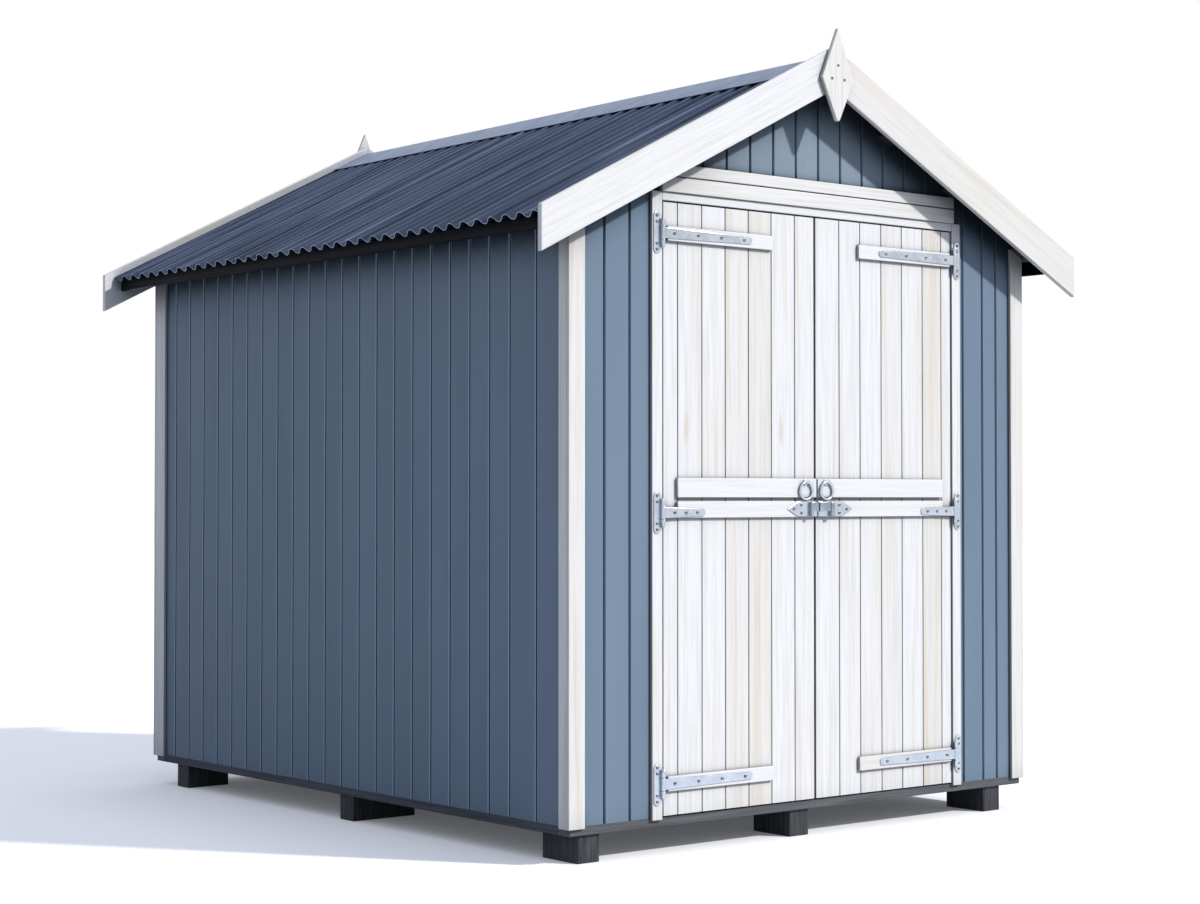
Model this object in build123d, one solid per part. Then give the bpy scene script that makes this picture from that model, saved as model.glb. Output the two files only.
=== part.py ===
from build123d import *
import os
from math import ceil, cos, floor, radians, sin, sqrt, tan

# A timber garden shed on foot blocks, with double doors and a corrugated roof.
# Millimetres. X runs along the front, +Y to the back, +Z up. The origin is on the ground, mid plan.

# Plan and walls
plan_width = 2200
plan_length = 2765
trim_thickness = 12
cladding_thickness = 16
side_board_cover = 113.6
end_board_cover = 108.6
side_joint_offset = 28.5
front_joint_offset = 27.6
wall_joint_width = 10
wall_joint_depth = 5
stud_depth = 38
stud_width = 45
side_stud_shares = (-1, -1 / 3, 1 / 3, 1)
back_stud_shares = (-1 / 2, 0, 1 / 2)

# Feet and floor
block_height = 92
block_width = 90
short_block_length = 185
long_block_length = 270
block_setback = 12
front_left_block_inset = 88
front_middle_block_offset = 60
front_right_block_inset = 146
middle_row_offset = 47
rear_row_inset = 195
floor_thickness = 30

# Doorway
doorway_width = 1412
doorway_height = 2039
jamb_width = 44
head_height = 29
header_lap = 5
header_thickness = 20
lower_header_height = 53
upper_header_height = 42
header_groove = 4
door_stud_lap = 15

# Roof
roof_pitch = 26.85
ridge_over_doorway = 555
corrugation_pitch = 76
corrugation_depth = 20
facets_per_wave = 8
sheet_thickness = 2
sheet_lip = 30
sheet_side_gap = 2
seat_gap = 0.2
cap_wing = 200
cap_thickness = 2
purlin_depth = 45
purlin_width = 60
purlin_place_shares = (0.35, 0.65)
ridge_beam_width = 45
ridge_beam_depth = 70
eave_overhang = 127
fascia_thickness = 18
fascia_height = 45
verge_overhang = 80
barge_thickness = 20
barge_width = 134
barge_rise = 26
barge_end_lap = 73

# Finials
finial_thickness = 18
finial_width = 154
finial_rise = 61
finial_waist_drop = 116
finial_drop = 263
finial_tip_width = 14

# Corner trims
trim_lap = 7
trim_front_width = 67
trim_side_width = 55
rear_trim_side_width = 86

# Door leaves
door_gap = 5
meeting_gap = 6
leaf_thickness = 18
leaf_recess = 4
leaf_joint_width = 5
leaf_joint_depth = 3
left_joint_shares = (0.093, 0.248, 0.4, 0.553, 0.706, 0.865)
right_joint_shares = (0.073, 0.216, 0.372, 0.526, 0.681, 0.831)
rail_thickness = 12
lower_rail_from_bottom = 981
lower_rail_height = 56
rail_spacing = 12
upper_rail_height = 66
rail_end_gap = 56
batten_end_gap = 13
batten_length = 478
batten_height = 50
batten_from_top = 104
batten_from_bottom = 105
ledge_thickness = 20
ledge_height = 95
ledge_side_gap = 24
ledge_end_gap = 140
brace_width = 80

# Strap hinges
pin_radius = 3
pin_clearance = 0.1
pin_side = 5
knuckle_radius = 7.5
knuckle_length = 44
knuckle_gap = 0.5
fixed_knuckle_length = 22
plate_thickness = 3
plate_height = 138
plate_width = 34
strap_thickness = 3
strap_root_height = 36
strap_tip_height = 24
long_strap = 400
short_strap = 185
middle_hinge_drop = 10

# Latch and ring pulls
latch_plate_thickness = 3
latch_plate_margin = 3
latch_point = 48
left_plate_reach = 145
right_plate_reach = 172
left_bar_reach = 31
right_bar_reach = 56
latch_bar_height = 32
latch_bar_lift = 8
latch_bar_thickness = 9
left_keep_width = 10
right_keep_width = 17
latch_keep_wall = 3
rose_radius = 11
rose_margin = 1
rose_thickness = 3
pull_stem_radius = 5
pull_stem_length = 6
pull_ring_radius = 34
pull_ring_width = 8
pull_ring_thickness = 6
left_pull_place = 58
right_pull_place = 42

# Heights and places worked out from the sizes above
pitch_cos = cos(radians(roof_pitch))
pitch_sin = sin(radians(roof_pitch))
pitch_tan = tan(radians(roof_pitch))
half_width = plan_width / 2
half_length = plan_length / 2
wall_x = half_width - trim_thickness
wall_y = half_length - trim_thickness
inner_x = wall_x - cladding_thickness
inner_y = wall_y - cladding_thickness
floor_top = block_height + floor_thickness
trim_bottom = floor_top - trim_lap
doorway_half = doorway_width / 2
doorway_top = floor_top + doorway_height
head_top = doorway_top + head_height
header_joint = head_top + lower_header_height
header_top = header_joint + upper_header_height
ridge_height = doorway_top + ridge_over_doorway
wave_radius = ((corrugation_pitch / 4) ** 2 + (corrugation_depth / 2) ** 2) / corrugation_depth
sheet_seat = corrugation_depth + sheet_thickness + seat_gap
purlin_seat = sheet_seat + purlin_depth
eave_purlin_at = (wall_x + purlin_seat * pitch_sin) / pitch_cos - purlin_width / 2
fascia_face_x = wall_x + eave_overhang
sheet_reach = (fascia_face_x + sheet_lip) / pitch_cos
barge_end_x = fascia_face_x + barge_end_lap
barge_inner_y = half_length + verge_overhang
barge_outer_y = barge_inner_y + barge_thickness
leaf_edge = doorway_half - door_gap
leaf_width = leaf_edge - meeting_gap / 2
leaf_top = doorway_top - door_gap
leaf_bottom = floor_top + door_gap
leaf_face_y = -half_length + leaf_recess
leaf_back_y = leaf_face_y + leaf_thickness
rail_face_y = leaf_face_y - rail_thickness
lower_rail_bottom = leaf_bottom + lower_rail_from_bottom
lower_rail_mid = lower_rail_bottom + lower_rail_height / 2
upper_rail_bottom = lower_rail_bottom + lower_rail_height + rail_spacing
upper_rail_top = upper_rail_bottom + upper_rail_height
middle_hinge_z = lower_rail_mid - middle_hinge_drop
bottom_batten_z = leaf_bottom + batten_from_bottom
top_batten_z = leaf_top - batten_from_top
pin_x = doorway_half + pin_side
pin_y = rail_face_y - strap_thickness / 2
hinges = ((bottom_batten_z, long_strap), (middle_hinge_z, short_strap), (top_batten_z, long_strap))
sides = (("left", -1), ("right", 1))
ends = (("front", -1), ("rear", 1))


def roof_z(x, below):
    """Height, at x from the ridge, of the plane that lies that far below the sheet's crests."""
    return ridge_height - below / pitch_cos - abs(x) * pitch_tan


def roof_point(along, below, side):
    """A point of a roof section: so far down the slope, so far below the sheet's crests."""
    x = along * pitch_cos - below * pitch_sin
    return (side * x, ridge_height - along * pitch_sin - below * pitch_cos)


def board(x0, x1, y0, y1, z0, z1):
    """A plain board or post between two opposite corners."""
    corner = (min(x0, x1), min(y0, y1), min(z0, z1))
    size = (abs(x1 - x0), abs(y1 - y0), abs(z1 - z0))
    return Pos(*corner) * Box(*size, align=(Align.MIN, Align.MIN, Align.MIN))


def through(face, y0, y1):
    """A face drawn in X and Z, made solid from y0 to y1."""
    plane = Plane(origin=(0, min(y0, y1), 0), x_dir=(1, 0, 0), z_dir=(0, -1, 0))
    return extrude(plane * face, amount=-abs(y1 - y0))


def prism(outline, y0, y1):
    """A straight-sided outline in X and Z, made solid from y0 to y1."""
    return through(make_face(Polyline(*outline, close=True)), y0, y1)


def group(pieces):
    """Several like pieces, kept as solids of their own under one name."""
    return Compound(children=[piece.solid() for piece in pieces])


def board_joints(start, end, cover, place):
    """Where boards that cover so much each meet between two ends, if one joint lies at that place."""
    first = ceil((start + wall_joint_width - place) / cover)
    last = floor((end - wall_joint_width - place) / cover)
    return [place + cover * step for step in range(first, last + 1)]


def boarding(start, end, joints, thickness, joint_width, joint_depth, bottom, top):
    """A run of boards along X as one sheet, its face to -Y, with a V along every joint."""
    section = [(start, 0)]
    for x in joints:
        section += [(x - joint_width / 2, 0), (x, joint_depth), (x + joint_width / 2, 0)]
    section += [(end, 0), (end, thickness), (start, thickness)]
    return Pos(0, 0, bottom) * extrude(make_face(Polyline(*section, close=True)), amount=top - bottom)


def under_roof(below):
    """The space under the roof, up to the plane that lies that far below the sheet's crests."""
    reach = barge_end_x
    outline = [(-reach, 0), (reach, 0), (reach, roof_z(reach, below)), (0, roof_z(0, below)),
               (-reach, roof_z(reach, below))]
    return prism(outline, -barge_inner_y, barge_inner_y)


# Feet and floor


def foot_blocks():
    """Offcuts of square timber in three rows: the front row on end, the others along the front."""
    front_y = -wall_y + block_setback
    blocks = []
    for x in (-wall_x + front_left_block_inset, -front_middle_block_offset, wall_x - front_right_block_inset):
        blocks.append(board(x - block_width / 2, x + block_width / 2, front_y, front_y + short_block_length,
                            0, block_height))
    edge = wall_x - block_setback
    for row_y, length in ((-middle_row_offset, long_block_length), (wall_y - rear_row_inset, short_block_length)):
        for x in (-edge + length / 2, 0, edge - length / 2):
            blocks.append(board(x - length / 2, x + length / 2, row_y - block_width / 2, row_y + block_width / 2,
                                0, block_height))
    return group(blocks)


def floor_deck():
    return board(-wall_x, wall_x, -wall_y, wall_y, block_height, floor_top)


# Roof timbers


def purlin(along, side):
    """A timber along one slope, its broad face against the sheet."""
    near = along - purlin_width / 2
    far = along + purlin_width / 2
    outline = [roof_point(near, sheet_seat, side), roof_point(far, sheet_seat, side),
               roof_point(far, purlin_seat, side), roof_point(near, purlin_seat, side)]
    return prism(outline, -barge_inner_y, barge_inner_y)


def roof_purlins():
    places = [share * eave_purlin_at for share in purlin_place_shares] + [eave_purlin_at]
    return [purlin(along, side) for name, side in sides for along in places]


def ridge_beam():
    bottom = roof_z(0, sheet_seat) - ridge_beam_depth
    beam = board(-ridge_beam_width / 2, ridge_beam_width / 2, -barge_inner_y, barge_inner_y, bottom, ridge_height)
    return beam & under_roof(sheet_seat)


# Walls and their framing


def side_wall(side):
    joints = board_joints(-wall_y, wall_y, side_board_cover, -side * side_joint_offset)
    run = boarding(-wall_y, wall_y, joints, cladding_thickness, wall_joint_width, wall_joint_depth,
                   floor_top, ridge_height)
    return Pos(side * wall_x, 0, 0) * Rot(0, 0, side * 90) * run & under_roof(purlin_seat)


def end_wall(x0, x1, bottom, end, timbers):
    """A length of front or back wall, notched round the roof timbers that pass over it."""
    joint_place = front_joint_offset if end < 0 else 0
    joints = board_joints(x0, x1, end_board_cover, joint_place)
    run = boarding(x0, x1, joints, cladding_thickness, wall_joint_width, wall_joint_depth, bottom, ridge_height)
    turn = 0 if end < 0 else 180
    wall = Pos(0, end * wall_y, 0) * Rot(0, 0, turn) * run & under_roof(sheet_seat)
    for timber in timbers:
        wall = wall - timber
    return wall


def plate_bottom():
    return roof_z(inner_x, purlin_seat) - stud_width


def wall_plates():
    """A rail along the top of each side wall, under the eave purlin."""
    roof = under_roof(purlin_seat)
    return group([board(side * (inner_x - stud_depth), side * inner_x, -inner_y, inner_y,
                        plate_bottom(), ridge_height) & roof for name, side in sides])


def side_wall_studs(side):
    """Posts inside a side wall, from the floor to the wall plate."""
    reach = inner_y - stud_depth - stud_width / 2
    posts = []
    for share in side_stud_shares:
        y = share * reach
        posts.append(board(side * (inner_x - stud_depth), side * inner_x, y - stud_width / 2, y + stud_width / 2,
                           floor_top, plate_bottom()))
    return group(posts)


def back_wall_studs(beam):
    posts = []
    for share in back_stud_shares:
        x = share * inner_x
        post = board(x - stud_width / 2, x + stud_width / 2, inner_y - stud_depth, inner_y, floor_top, ridge_height)
        posts.append((post & under_roof(purlin_seat)) - beam)
    return group(posts)


def door_studs():
    """Posts behind the door jambs. They lap into the doorway as stops for the leaves."""
    near = doorway_half - door_stud_lap
    roof = under_roof(purlin_seat)
    return group([board(side * near, side * (near + stud_width), -inner_y, stud_depth - inner_y,
                        floor_top, ridge_height) & roof for name, side in sides])


# Trims round the walls and the doorway


def corner_trim(side, end):
    """Two boards butted round a corner, up to the roof timbers."""
    side_width = trim_side_width if end < 0 else rear_trim_side_width
    face = board(side * half_width, side * (half_width - trim_front_width), end * half_length, end * wall_y,
                 trim_bottom, ridge_height)
    flank = board(side * half_width, side * wall_x, end * half_length, end * (half_length - side_width),
                  trim_bottom, ridge_height)
    return (face + flank) & under_roof(purlin_seat)


def door_jamb(side):
    return board(side * doorway_half, side * (doorway_half + jamb_width), -half_length, -wall_y,
                 trim_bottom, head_top)


def door_head():
    return board(-doorway_half, doorway_half, -half_length, -wall_y, doorway_top, head_top)


def door_header():
    """Two boards over the doorway with a groove where they meet, tucked under the roof timbers."""
    reach = doorway_half + header_lap
    face_y = -wall_y - header_thickness
    boards = board(-reach, reach, face_y, -wall_y, head_top, header_top)
    groove = board(-reach, reach, face_y, face_y + header_groove,
                   header_joint - header_groove / 2, header_joint + header_groove / 2)
    return (boards - groove) & under_roof(purlin_seat)


# Roof covering and its edges


def wave_rise(step):
    """Height over the sheet's mid depth at a step of its wave, which is an arc up and an arc down."""
    turns = step / (facets_per_wave / 2)
    across = (turns - round(turns)) * corrugation_pitch / 2
    rise = corrugation_depth / 2 - wave_radius + sqrt(wave_radius ** 2 - across ** 2)
    return rise if round(turns) % 2 == 0 else -rise


def roof_sheet():
    """The right-hand sheet: one wave after another across the slope, carried down to the eave."""
    width = 2 * (barge_inner_y - sheet_side_gap)
    waves = round(width / corrugation_pitch)
    facets = waves * facets_per_wave
    middle = -sheet_thickness - corrugation_depth / 2

    def wave(level):
        points = []
        for step in range(facets + 1):
            points.append((width * step / facets - width / 2, level + wave_rise(step)))
        return points

    section = make_face(Polyline(*wave(middle + sheet_thickness), *reversed(wave(middle)), close=True))
    top_edge = sheet_seat * pitch_tan
    down_slope = Plane(origin=(0, 0, ridge_height), x_dir=(0, 1, 0), z_dir=(pitch_cos, 0, -pitch_sin))
    return extrude(down_slope.offset(top_edge) * section, amount=sheet_reach - top_edge)


def ridge_cap():
    """A folded sheet that lies on the crests along the ridge."""
    low = -seat_gap
    high = -seat_gap - cap_thickness
    outline = [(0, roof_z(0, high)), roof_point(cap_wing, high, 1), roof_point(cap_wing, low, 1),
               (0, roof_z(0, low)), roof_point(cap_wing, low, -1), roof_point(cap_wing, high, -1)]
    reach = barge_inner_y - sheet_side_gap
    return prism(outline, -reach, reach)


def eave_fascia(side):
    """A board along the eave, its top edge planed to the slope of the sheet."""
    bottom = roof_z(fascia_face_x, sheet_seat) - fascia_height
    return board(side * (fascia_face_x - fascia_thickness), side * fascia_face_x, -barge_inner_y, barge_inner_y,
                 bottom, ridge_height) & under_roof(sheet_seat)


def bargeboard(side, end):
    """Half of a gable's edge board, cut plumb at the ridge and at the eave."""
    high = -barge_rise
    low = barge_width - barge_rise
    outline = [(0, roof_z(0, high)), (side * barge_end_x, roof_z(barge_end_x, high)),
               (side * barge_end_x, roof_z(barge_end_x, low)), (0, roof_z(0, low))]
    return prism(outline, end * barge_inner_y, end * barge_outer_y)


def finial(end):
    """A kite-shaped board over the joint of two bargeboards."""
    apex = roof_z(0, -barge_rise)
    half = finial_width / 2
    tip = finial_tip_width / 2
    outline = [(0, apex + finial_rise), (half, apex - finial_waist_drop), (tip, apex - finial_drop),
               (-tip, apex - finial_drop), (-half, apex - finial_waist_drop)]
    return prism(outline, end * barge_outer_y, end * (barge_outer_y + finial_thickness))


# Door leaves


def door_boards(side):
    """The leaf's boards, with a narrow V where each meets the next."""
    shares = left_joint_shares if side < 0 else right_joint_shares
    joints = sorted(side * (leaf_edge - share * leaf_width) for share in shares)
    start, end = sorted((side * meeting_gap / 2, side * leaf_edge))
    run = boarding(start, end, joints, leaf_thickness, leaf_joint_width, leaf_joint_depth, leaf_bottom, leaf_top)
    return Pos(0, leaf_face_y, 0) * run


def door_rails(side):
    """Two rails across the middle of the leaf, and a short batten under each long strap."""
    rails = []
    for bottom, height in ((upper_rail_bottom, upper_rail_height), (lower_rail_bottom, lower_rail_height)):
        rails.append(board(side * meeting_gap / 2, side * (leaf_edge - rail_end_gap), rail_face_y, leaf_face_y,
                           bottom, bottom + height))
    outer = leaf_edge - batten_end_gap
    for z in (bottom_batten_z, top_batten_z):
        rails.append(board(side * (outer - batten_length), side * outer, rail_face_y, leaf_face_y,
                           z - batten_height / 2, z + batten_height / 2))
    return group(rails)


def ledge_span():
    """Where the inside ledges start and end, clear of the other leaf and of the stops."""
    return (meeting_gap / 2 + ledge_side_gap, doorway_half - door_stud_lap - ledge_side_gap)


def ledge_bottoms():
    low = leaf_bottom + ledge_end_gap
    high = leaf_top - ledge_end_gap - ledge_height
    return (low, (low + high) / 2, high)


def door_ledges(side):
    """Three ledges on the inside of the leaf that hold its boards together."""
    near, far = ledge_span()
    return group([board(side * near, side * far, leaf_back_y, leaf_back_y + ledge_thickness,
                        bottom, bottom + ledge_height) for bottom in ledge_bottoms()])


def door_braces(side):
    """Slanting braces between the ledges, rising from the hinge side."""
    near, far = ledge_span()
    low, middle, high = ledge_bottoms()
    braces = []
    for foot, head in ((low + ledge_height, middle), (middle + ledge_height, high)):
        outline = [(side * far, foot), (side * (near + brace_width), head), (side * near, head),
                   (side * (far - brace_width), foot)]
        braces.append(prism(outline, leaf_back_y, leaf_back_y + ledge_thickness))
    return group(braces)


# Strap hinges


def barrel(x, z0, z1, radius):
    return Pos(x, pin_y, z0) * Cylinder(radius, z1 - z0, align=(Align.CENTER, Align.CENTER, Align.MIN))


def hinge_plates(side):
    """The fixed halves: a round-ended plate on the jamb, two knuckles and the pin through them."""
    x = side * pin_x
    inside = knuckle_length / 2 + knuckle_gap
    outside = inside + fixed_knuckle_length
    halves = []
    for z, length in hinges:
        face = Pos(side * (pin_x + plate_width / 2), z) * SlotOverall(plate_height, plate_width, rotation=90)
        plate = through(face, -half_length - plate_thickness, -half_length)
        relief = barrel(x, z - inside, z + inside, knuckle_radius + knuckle_gap)
        upper = barrel(x, z + inside, z + outside, knuckle_radius)
        lower = barrel(x, z - outside, z - inside, knuckle_radius)
        pin = barrel(x, z - outside, z + outside, pin_radius)
        halves.append((plate - relief) + upper + lower + pin)
    return group(halves)


def door_straps(side):
    """The moving halves: a knuckle on the pin and a tapering, round-tipped strap over the batten."""
    x = side * pin_x
    root = strap_root_height / 2
    tip = strap_tip_height / 2
    straps = []
    for z, length in hinges:
        end = pin_x - length
        edges = [Line((x, z - root), (side * (end + tip), z - tip)),
                 ThreePointArc((side * (end + tip), z - tip), (side * end, z), (side * (end + tip), z + tip)),
                 Line((side * (end + tip), z + tip), (x, z + root)),
                 Line((x, z + root), (x, z - root))]
        strap = through(make_face(Curve() + edges), rail_face_y - strap_thickness, rail_face_y)
        knuckle = barrel(x, z - knuckle_length / 2, z + knuckle_length / 2, knuckle_radius)
        bore = barrel(x, z - knuckle_length, z + knuckle_length, pin_radius + pin_clearance)
        straps.append(strap + knuckle - bore)
    return group(straps)


# Latch


def latch_half(side):
    """A pointed plate on the lower rail, with half of the bar and the keep that it slides in."""
    edge = meeting_gap / 2
    half = lower_rail_height / 2 - latch_plate_margin
    plate_reach = left_plate_reach if side < 0 else right_plate_reach
    bar_reach = left_bar_reach if side < 0 else right_bar_reach
    keep_width = left_keep_width if side < 0 else right_keep_width
    shoulder = plate_reach - latch_point
    z = lower_rail_mid
    outline = [(side * edge, z - half), (side * shoulder, z - half), (side * plate_reach, z),
               (side * shoulder, z + half), (side * edge, z + half)]
    plate_y = rail_face_y - latch_plate_thickness
    plate = prism(outline, plate_y, rail_face_y)
    bar_z = z + latch_bar_lift
    bar = board(side * edge, side * bar_reach, plate_y - latch_bar_thickness, plate_y,
                bar_z - latch_bar_height / 2, bar_z + latch_bar_height / 2)
    keep = board(side * bar_reach, side * (bar_reach + keep_width),
                 plate_y - latch_bar_thickness - latch_keep_wall, plate_y, z - half, z + half)
    return plate + bar + keep


def ring_pull(side):
    """A ring that hangs from a stem on a round rose, on the upper rail."""
    x = side * (left_pull_place if side < 0 else right_pull_place)
    z = upper_rail_top - rose_margin - rose_radius
    ring_z = z - pull_ring_radius + pull_ring_width / 2

    def disc(radius, place_z, y0, y1):
        return through(Pos(x, place_z) * Circle(radius), y0, y1)

    stem_y = rail_face_y - rose_thickness
    ring_y = stem_y - pull_stem_length
    hole_radius = pull_ring_radius - pull_ring_width
    ring = disc(pull_ring_radius, ring_z, ring_y, ring_y + pull_ring_thickness)
    ring = ring - disc(hole_radius, ring_z, ring_y, ring_y + pull_ring_thickness)
    rose = disc(rose_radius, z, stem_y, rail_face_y)
    stem = disc(pull_stem_radius, z, ring_y - pull_ring_thickness / 2, stem_y)
    return rose + stem + ring


def door_latch(side):
    return group([latch_half(side), ring_pull(side)])


def build():
    """Every piece of the shed under its own name."""
    purlins = roof_purlins()
    beam = ridge_beam()
    timbers = purlins + [beam]
    sheet = roof_sheet()
    pieces = {
        "floor_deck": floor_deck(),
        "foot_blocks": foot_blocks(),
        "roof_purlins": group(purlins),
        "ridge_beam": beam,
        "back_wall": end_wall(-inner_x, inner_x, floor_top, 1, timbers),
        "front_wall_left": end_wall(-inner_x, -doorway_half, floor_top, -1, timbers),
        "front_wall_right": end_wall(doorway_half, inner_x, floor_top, -1, timbers),
        "front_gable": end_wall(-doorway_half, doorway_half, doorway_top, -1, timbers),
        "wall_plates": wall_plates(),
        "back_wall_studs": back_wall_studs(beam),
        "door_studs": door_studs(),
        "door_head": door_head(),
        "door_header": door_header(),
        "ridge_cap": ridge_cap(),
        "roof_sheet_right": sheet,
        "roof_sheet_left": mirror(sheet, about=Plane.YZ),
    }
    for side_name, side in sides:
        pieces[f"{side_name}_wall"] = side_wall(side)
        pieces[f"{side_name}_wall_studs"] = side_wall_studs(side)
        pieces[f"door_jamb_{side_name}"] = door_jamb(side)
        pieces[f"eave_fascia_{side_name}"] = eave_fascia(side)
        pieces[f"{side_name}_hinge_plates"] = hinge_plates(side)
        pieces[f"{side_name}_door_boards"] = door_boards(side)
        pieces[f"{side_name}_door_rails"] = door_rails(side)
        pieces[f"{side_name}_door_ledges"] = door_ledges(side)
        pieces[f"{side_name}_door_braces"] = door_braces(side)
        pieces[f"{side_name}_door_straps"] = door_straps(side)
        pieces[f"{side_name}_door_latch"] = door_latch(side)
    for end_name, end in ends:
        pieces[f"{end_name}_finial"] = finial(end)
        for side_name, side in sides:
            pieces[f"{end_name}_{side_name}_trim"] = corner_trim(side, end)
            pieces[f"{end_name}_{side_name}_bargeboard"] = bargeboard(side, end)
    return pieces


os.makedirs("parts", exist_ok=True)
for piece_name, piece in build().items():
    export_step(piece, f"parts/{piece_name}.step")
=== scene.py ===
# %% [markdown]
# # A timber garden shed
# A boarded shed on foot blocks, with white-washed double doors, white corner boards and a corrugated
# steel roof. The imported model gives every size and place. This lesson dresses it board by board, so
# that each joint, edge and screw is there to be seen when the doors swing or the camera walks round.

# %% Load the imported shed
import math
import random

import bmesh
import bpy
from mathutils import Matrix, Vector


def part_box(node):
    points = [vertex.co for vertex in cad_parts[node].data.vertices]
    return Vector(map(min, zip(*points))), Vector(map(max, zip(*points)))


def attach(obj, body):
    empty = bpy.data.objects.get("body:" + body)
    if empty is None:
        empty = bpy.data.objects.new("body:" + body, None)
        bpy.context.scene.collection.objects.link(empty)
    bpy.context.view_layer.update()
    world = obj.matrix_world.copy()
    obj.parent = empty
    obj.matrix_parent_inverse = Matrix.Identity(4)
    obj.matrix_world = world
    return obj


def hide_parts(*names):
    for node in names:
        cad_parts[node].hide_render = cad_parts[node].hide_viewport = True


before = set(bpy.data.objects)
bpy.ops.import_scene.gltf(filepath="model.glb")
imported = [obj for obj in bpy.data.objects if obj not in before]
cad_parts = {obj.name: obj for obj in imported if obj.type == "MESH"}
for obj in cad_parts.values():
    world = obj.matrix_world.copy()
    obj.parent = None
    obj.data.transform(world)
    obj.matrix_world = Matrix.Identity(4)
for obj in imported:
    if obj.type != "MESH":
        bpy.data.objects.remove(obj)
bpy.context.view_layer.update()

scene = bpy.context.scene
scene.view_settings.view_transform = "Standard"

# %% [markdown]
# ## The camera
# The photograph was taken from the left of the doors, at chest height, with a longish lens. The place,
# the turn and the lens were solved from the straight edges of the shed, so they are set as numbers and
# not by eye. The frame is 1200 by 904, and the sensor's 36 mm lie along the longer side.

# %% Camera


def deselect():
    bpy.ops.object.select_all(action="DESELECT")


CAMERA_PLACE = (-5.5959, -7.0713, 1.1763)
CAMERA_PITCH = 91.147
CAMERA_YAW = -39.105
CAMERA_LENS = 68.13

deselect()
bpy.ops.object.camera_add(location=CAMERA_PLACE,
                          rotation=(math.radians(CAMERA_PITCH), 0, math.radians(CAMERA_YAW)))
camera = bpy.context.object
camera.data.sensor_width = 36
camera.data.lens = CAMERA_LENS
camera.data.clip_end = 500
scene.camera = camera
print("camera at", CAMERA_PLACE, "lens", CAMERA_LENS)

# %% [markdown]
# ## Colours and nodes
# Colours are written as sRGB hex values, as a paint shop would give them, and one function turns them
# into the linear numbers that a shader needs. A second function adds a node, sets it and links it.
# Every finish below is built from these two.


# %% Colour and node helpers
def linear(hex_colour):
    """A hex colour as the linear red, green, blue and alpha that shaders take."""
    channels = [int(hex_colour[start:start + 2], 16) / 255 for start in (1, 3, 5)]
    return [c / 12.92 if c <= 0.04045 else ((c + 0.055) / 1.055) ** 2.4 for c in channels] + [1.0]


USUAL = {"Mix": {"data_type": "RGBA"}}
USED_SOCKETS = {"Mix": (0, 6, 7)}   # the amount and the two colours
USED_OUTPUT = {"Mix": 2, "TexCoord": "Object", "Attribute": "Fac", "AmbientOcclusion": "AO"}


def add(tree, kind, sockets=(), **settings):
    """Adds one shader node and returns the output that is used, the first if no other is named above.
    Sockets are given by name or in order. One is linked where it is given an output, and set where not.
    A hex colour is made linear."""
    made = tree.nodes.new("ShaderNode" + kind)
    for setting, value in {**USUAL.get(kind, {}), **settings}.items():
        setattr(made, setting, value)
    if not isinstance(sockets, dict):
        sockets = dict(zip(USED_SOCKETS.get(kind, range(len(sockets))), sockets))
    for socket, value in sockets.items():
        if isinstance(value, bpy.types.NodeSocket):
            tree.links.new(value, made.inputs[socket])
        else:
            made.inputs[socket].default_value = linear(value) if isinstance(value, str) else value
    return made.outputs[USED_OUTPUT.get(kind, 0)] if made.outputs else made


def new_finish(name):
    finish = bpy.data.materials.new(name)
    finish.use_nodes = True
    finish.node_tree.nodes.clear()
    return finish, finish.node_tree


print("a mid grey in linear light:", [round(c, 3) for c in linear("#808080")])

# %% [markdown]
# ## Light, world and floor
# The photograph has a low sun from the front right, with an open sky as fill, on a white ground. One sun
# lamp and a plain pale world give that. The world and the floor show white to the camera and to
# reflections through the Light Path node, while the light that they send to the shed stays lower, so
# colours render about as they are written. The floor keeps its shadow, and it darkens under the deck,
# where an Ambient Occlusion node takes away the lift.

# %% Sun and world


def seen_directly(tree):
    """1 for what the camera, a reflection or glass sees, and 0 for the light that is sent to the shed."""
    rays = add(tree, "LightPath").node.outputs
    seen = add(tree, "Math", [rays["Is Camera Ray"], rays["Is Glossy Ray"]], operation="MAXIMUM")
    return add(tree, "Math", [seen, rays["Is Transmission Ray"]], operation="MAXIMUM")


SUN_FROM = Vector((0.4755, -0.6545, 0.5878))
bpy.ops.object.light_add(type="SUN", location=SUN_FROM * 12)
sun = bpy.context.object
sun.rotation_euler = (-SUN_FROM).to_track_quat("-Z", "Y").to_euler()
sun.data.energy = 3.2
sun.data.angle = math.radians(3)
sun.data.color = linear("#FFFBF5")[:3]

world = bpy.data.worlds.new("open_sky")
world.use_nodes = True
scene.world = world
sky = world.node_tree
sky.nodes.clear()
fill = add(sky, "Background", {"Color": "#DFEAFF", "Strength": 0.435})
white = add(sky, "Background", {"Color": "#FFFFFF", "Strength": 1.0})
either = add(sky, "MixShader", [seen_directly(sky), fill, white])
add(sky, "OutputWorld", {"Surface": either})
print("sun from", [round(c, 2) for c in SUN_FROM])

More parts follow.
